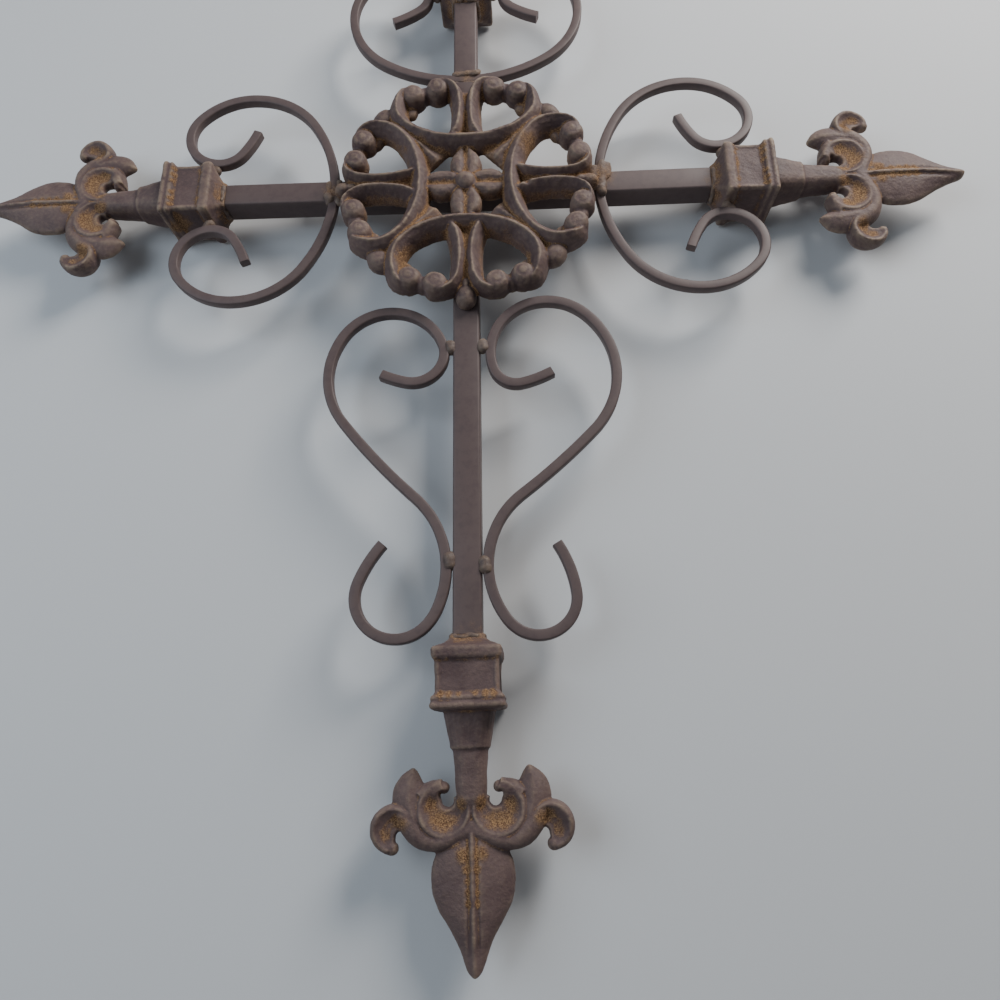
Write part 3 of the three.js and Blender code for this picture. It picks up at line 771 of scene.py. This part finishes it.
def finialLeaf():
    outline = curveThrough([
        (70.0, 8.0), (73.0, 10.5), (76.0, 12.9), (79.0, 14.7), (83.0, 16.2), (87.0, 16.8), (91.0, 16.7),
        (95.0, 16.0), (100.0, 13.9), (105.0, 10.7), (110.0, 7.6), (115.0, 5.2), (119.0, 3.8), (121.5, 2.6),
        (123.0, 0.9)])
    rings = []
    for z, half in outline:
        middle = np.linspace(-min(3.6, half * 0.7), min(3.6, half * 0.7), 25)
        outer = np.linspace(middle[-1], half, 14)[1:]
        across = np.r_[-outer[::-1], middle, outer]
        u = across / half
        depth = 5.4 * (0.35 + 0.65 * math.sqrt(half / 16.8))
        skin = depth * (0.16 + 0.84 * np.maximum(0, 1 - np.abs(u) ** 1.7) ** 0.8)
        fade = np.clip((half - 2.5) / 5, 0, 1)
        midrib, groove = np.exp(-((across / 0.8) ** 4)), np.exp(-(((np.abs(across) - 1.9) / 0.7) ** 2))
        skin += fade * (0.8 * midrib - 0.7 * groove)
        skin = np.maximum(skin, 0.15)
        skin[[0, -1]] = 0.0
        front = [(x, -d, z) for x, d in zip(across, skin)]
        back = [(x, d, z) for x, d in zip(across[1:-1], skin[1:-1])][::-1]
        rings.append(front + back)
    return loft(rings)


# A dished band between two circles (x, z, radius): its crest, and the open lip of its hollow
def curl(crest, lip, turns, outer, closing, heights, steps=72):
    rings = []
    for share in np.linspace(0, 1, steps):
        angle = math.radians(turns[0] + (turns[1] - turns[0]) * share)
        way = np.array([math.cos(angle), math.sin(angle)])
        high, low = np.array(crest[:2]) + crest[2] * way, np.array(lip[:2]) + lip[2] * way
        low = low + (high - low) * closing(share)
        rim = high + (outer - crest[2]) * way
        edgeHeight, floor, top = heights(share)
        rise = top - floor
        profile = [
            (low, 0), (0.03, edgeHeight * 0.6), (0.1, edgeHeight), (0.3, floor), (0.58, floor + 0.14 * rise),
            (0.8, floor + 0.6 * rise), (0.95, top * 0.99), (1.2, top * 0.98), (1.6, top * 0.82),
            (1.9, top * 0.5), (rim, 0)]
        points = []
        for at, height in profile:
            if isinstance(at, float):
                at = low + (high - low) * at if at < 1 else high + (rim - high) * (at - 1)
            points.append((*at, height))
        points += [(x, z, -height) for x, z, height in points[-2:0:-1]]
        rings.append([(x, -height, z) for x, z, height in points])
    return loft(rings)


# A tapering band over rows (x, z, half width, half depth), with an optional crest line
def lensAlong(stations, crease=0.0):
    path = curveThrough(stations, 0.7)
    along = np.gradient(path[:, :2], axis=0)
    along /= np.linalg.norm(along, axis=1)[:, None]
    around = np.linspace(0, 2 * np.pi, 36, endpoint=False)
    rings = []
    for (x, z, half, depth), (ax, az) in zip(path, along):
        a, d = half * np.cos(around), depth * np.sin(around) * (1 - crease * np.abs(np.cos(around)))
        rings.append(np.c_[x - a * az, d, z + a * ax])
    return loft(rings)


def ease(share, start, full):
    t = min(1.0, max(0.0, (share - start) / (full - start)))
    return t * t * (3 - 2 * t)


# How far a curl's hollow is closed, and its edge, floor and top heights, at a share of its way
def hookClosing(share):
    return 0.3 * ease(share, 0.72, 0.95)


def hookHeights(share):
    rim, floor = 2.7 + 1.2 * ease(share, 0.7, 0.9), 2.4 + 2.2 * ease(share, 0.7, 0.92)
    return rim, floor, 5.3 - 0.7 * ease(share, 0.6, 1)


def droopClosing(share):
    return 0.2 * ease(share, 0.7, 1)


def droopHeights(share):
    return 2.2, 1.8 + 0.8 * ease(share, 0.7, 1), 5.0 - 1.6 * ease(share, 0.5, 1)


def finialSide():
    hookTip = [(11.6, 54.6, 2.0, 3.8), (14.0, 54.3, 2.5, 4.2), (17.4, 55.4, 3.0, 4.5), (20.5, 58.0, 3.6, 4.7)]
    band = [
        (-1.0, 69.5, 5.4, 5.2), (5.0, 72.3, 4.2, 5.3), (11.0, 74.6, 3.8, 5.3), (16.0, 75.0, 4.0, 5.2),
        (20.5, 73.0, 4.8, 5.2), (24.0, 69.0, 5.2, 5.2), (26.2, 65.6, 4.6, 5.0), (29.0, 62.8, 3.2, 4.6)]
    middleLeaf = [
        (21.6, 72.0, 5.4, 4.6), (23.4, 66.0, 6.8, 5.0), (24.9, 60.5, 7.4, 4.9), (25.2, 56.0, 7.0, 4.6),
        (24.8, 52.4, 5.5, 3.8), (24.2, 49.6, 3.4, 2.8), (23.9, 47.9, 1.7, 1.8), (23.8, 47.0, 0.5, 0.8)]
    return [
        curl((11.0, 63.2, 10.0), (9.7, 59.8, 2.5), (208, -84), 11.8, hookClosing, hookHeights),
        ball((11.4, 0.0, 54.9), (2.4, 4.0, 2.4)),
        lensAlong(hookTip),
        lensAlong(band),
        curl((31.6, 70.0, 7.9), (28.5, 73.0, 2.3), (-160, 74), 9.7, droopClosing, droopHeights),
        ball((32.6, 0.0, 77.0), (2.8, 3.1, 2.8)),
        lensAlong(middleLeaf, 0.3),
    ]


def mirroredPart(part):
    points, faces = part
    return points * (-1, 1, 1), faces


def finialParts(start, turn, drop=0.0):
    sides = [part for one in finialSide() for part in (one, mirroredPart(one))]
    placed = []
    for points, faces in [finialBody(), finialLeaf(), *sides]:
        shifted = points + (0, -bar["side"] / 2, start)
        placed.append((turned(shifted, turn) + (0, 0, drop), faces))
    return placed


# The stippled rust lies in the hollows of the fleur: x, distance out and reach
rustyHollows = [(11.5, 66.5, 6.0), (15.0, 62.0, 4.5), (3.8, 60.5, 3.5), (29.5, 67.5, 4.6), (33.5, 71.0, 3.5),
                (3.4, 79.5, 3.8), (2.1, 85.0, 2.4), (1.9, 89.0, 2.0), (1.8, 93.0, 2.0), (1.8, 97.0, 1.9)]
# And in the mouldings of the collar's front
rustyMouldings = [(3.5, 18.8, 1.6), (7.5, 19.0, 1.9), (11.0, 18.8, 2.0), (13.2, 16.0, 1.7), (13.2, 12.0, 1.4),
                  (13.2, 8.0, 1.4), (12.8, 5.0, 1.7), (8.0, 4.8, 1.4)]
rustyDepths = [(front + 1.5, rustyHollows), (-20.9, rustyMouldings)]
places = {side: (bar["armReach"] + finialStart, turn, 0.0) for side, turn in armTurns.items()}
places["foot"] = (finialStart, 180 - finial["footLean"], -bar["footReach"])
for number, (side, place) in enumerate(places.items()):
    voxel = finial["footVoxel"] if side == "foot" else finial["voxel"]
    spots = [(x * way, y, z + place[0], reach)
             for y, some in rustyDepths for x, z, reach in some for way in (-1, 1)]
    turnedSpots = turned([spot[:3] for spot in spots], place[1]) + (0, 0, place[2])
    rustSpots += [(*at, spot[3]) for at, spot in zip(turnedSpots, spots)]
    mesh = fusedMesh(f"{side}Finial", finialParts(*place), voxel)
    finishSkin(mesh, 2, finial["bumps"], 11 + number)
    mesh = thinned(mesh)
    piece = pieceOf(f"{side}Finial", mesh, castIron)
    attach(piece, "root")
    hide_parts(f"finial_{side}")
    print("finial", side, len(mesh.polygons))

# Camera at the photograph's place
view = {"place": (0.0258, -0.3336, -0.2707), "tilt": (math.pi / 2 + 0.3043, 0.0323, -0.0273), "lens": 27.07}
camera = bpy.data.objects.new("camera", bpy.data.cameras.new("camera"))
camera.data.lens = view["lens"]
camera.data.sensor_width = 36
camera.data.clip_start = 0.01
tilt, lean, yaw = view["tilt"]
camera.matrix_world = (Matrix.Translation(view["place"]) @ Matrix.Rotation(tilt, 4, "X")
                       @ Matrix.Rotation(lean, 4, "Y") @ Matrix.Rotation(yaw, 4, "Z"))
scene.collection.objects.link(camera)
scene.camera = camera

# Pale wall and floor, soft light
studio = {
    "wallY": 0.0098, "wallColour": (0.53, 0.54, 0.553), "floorZ": -1.3,
    "daylight": (0.78, 0.84, 0.92, 1), "daylightStrength": 0.17,
    # Place, target, size in metres, watts and colour
    "lamps": {
        "key": ((0.58, -0.52, 0.62), (0.05, 0, -0.05), 0.45, 16.5, (1.0, 0.965, 0.92)),
        "fill": ((-0.8, -0.75, -0.05), (0, 0, -0.25), 0.8, 8.0, (0.78, 0.89, 1.0)),
        "back": ((0.0, 1.4, 0.5), (0, 0, 0), 1.5, 7, (1.0, 1.0, 1.0)),
    },
}


def plainMatte(name, colour):
    matte = bpy.data.materials.new(name)
    matte.use_nodes = True
    nodes, links = matte.node_tree.nodes, matte.node_tree.links
    nodes.clear()
    out, mix = nodes.new("ShaderNodeOutputMaterial"), nodes.new("ShaderNodeMixShader")
    facing, diffuse = nodes.new("ShaderNodeNewGeometry"), nodes.new("ShaderNodeBsdfDiffuse")
    diffuse.inputs["Color"].default_value = (*colour, 1)
    links.new(facing.outputs["Backfacing"], mix.inputs["Fac"])
    links.new(diffuse.outputs[0], mix.inputs[1])
    links.new(nodes.new("ShaderNodeBsdfTransparent").outputs[0], mix.inputs[2])
    links.new(mix.outputs[0], out.inputs["Surface"])
    return matte


def backdrop(name, corners, colour):
    mesh = bpy.data.meshes.new(name)
    mesh.from_pydata(corners, [], [(0, 1, 2, 3)])
    plane = bpy.data.objects.new(name, mesh)
    mesh.materials.append(plainMatte(name, colour))
    scene.collection.objects.link(plane)
    plane.visible_shadow = False


y, floor = studio["wallY"], studio["floorZ"]
backdrop("wall", [(-3, y, floor), (3, y, floor), (3, y, 3), (-3, y, 3)], studio["wallColour"])
backdrop("floor", [(-3, -4, floor), (3, -4, floor), (3, y, floor), (-3, y, floor)], studio["wallColour"])


def softLight(name, place, target, size, power, colour):
    light = bpy.data.lights.new(name, "AREA")
    light.size = size
    light.energy = power
    light.color = colour
    lamp = bpy.data.objects.new(name, light)
    lamp.location = place
    lamp.rotation_euler = (Vector(target) - Vector(place)).to_track_quat("-Z", "Y").to_euler()
    scene.collection.objects.link(lamp)


for name, lamp in studio["lamps"].items():
    softLight(name, *lamp)
world = bpy.data.worlds.new("studio")
world.use_nodes = True
sky = world.node_tree.nodes["Background"]
sky.inputs["Color"].default_value = studio["daylight"]
sky.inputs["Strength"].default_value = studio["daylightStrength"]
scene.world = world
print("studio")
